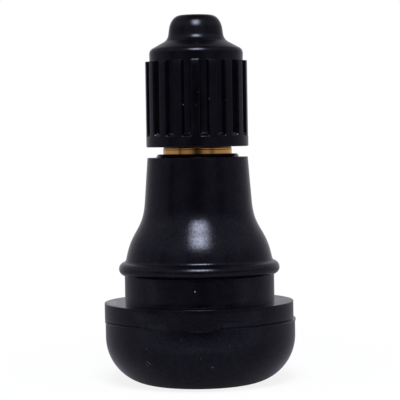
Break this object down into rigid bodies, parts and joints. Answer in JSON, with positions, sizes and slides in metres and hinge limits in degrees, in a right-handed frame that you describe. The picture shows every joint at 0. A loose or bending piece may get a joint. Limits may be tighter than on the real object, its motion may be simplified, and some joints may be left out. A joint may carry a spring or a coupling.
{
  "type": "tyre valve",
  "caption": "Black rubber snap-in tyre valve with a rounded base, a rim groove and bead, a bell-shaped neck, a brass stem with a spring-loaded core, and a ribbed screw cap.",
  "frame": {"origin": "centre of the flat foot of the base", "axes": "+Z along the valve's axis, from the foot towards the cap; a cap rib and the flat sides of the core's bridge face -Y"},
  "size_m": [0.0192, 0.0192, 0.0367],
  "materials": {
    "moulded_rubber": "satin, moulded, with a few specks of dust",
    "turned_brass": "turned, bright",
    "white_seal": "waxy",
    "bright_steel": "drawn, bright",
    "moulded_cap": "satin, moulded"
  },
  "bodies": {
    "valve": {"rubber_body": "moulded_rubber", "brass_stem": "turned_brass"},
    "cap_seal": {"cap_gasket": "moulded_rubber"},
    "cap": {"cap_shell": "moulded_cap"},
    "core": {"core_barrel": "turned_brass", "barrel_seal": "white_seal", "core_spring": "bright_steel"},
    "plug": {"core_plug": "turned_brass"},
    "pin": {"core_pin": "bright_steel", "seat_cup": "turned_brass", "seat_washer": "moulded_rubber"}
  },
  "joints": [
    {"name": "cap_lift", "type": "slide", "parent": "valve", "child": "cap_seal", "axis": [0, 0, 1], "range_m": [0, 0.00873]},
    {"name": "cap_turn", "type": "hinge", "parent": "cap_seal", "child": "cap", "pos_m": [0, 0, 0.028], "axis": [0, 0, 1], "range_deg": [0, 3960]},
    {"name": "core_lift", "type": "slide", "parent": "valve", "child": "core", "axis": [0, 0, 1], "range_m": [0, 0.00282]},
    {"name": "core_turn", "type": "hinge", "parent": "core", "child": "plug", "pos_m": [0, 0, 0.0265], "axis": [0, 0, 1], "range_deg": [0, 1440]},
    {"name": "pin_press", "type": "slide", "parent": "core", "child": "pin", "axis": [0, 0, -1], "range_m": [0, 0.0013], "stiffness_N_per_m": 800, "springref_m": -0.0015, "deforming": ["core_spring"]}
  ],
  "couplings": [
    {"joint": "cap_turn", "follows": "cap_lift", "rad_per_m": 7915.8},
    {"joint": "core_turn", "follows": "core_lift", "rad_per_m": 8905.3}
  ]
}
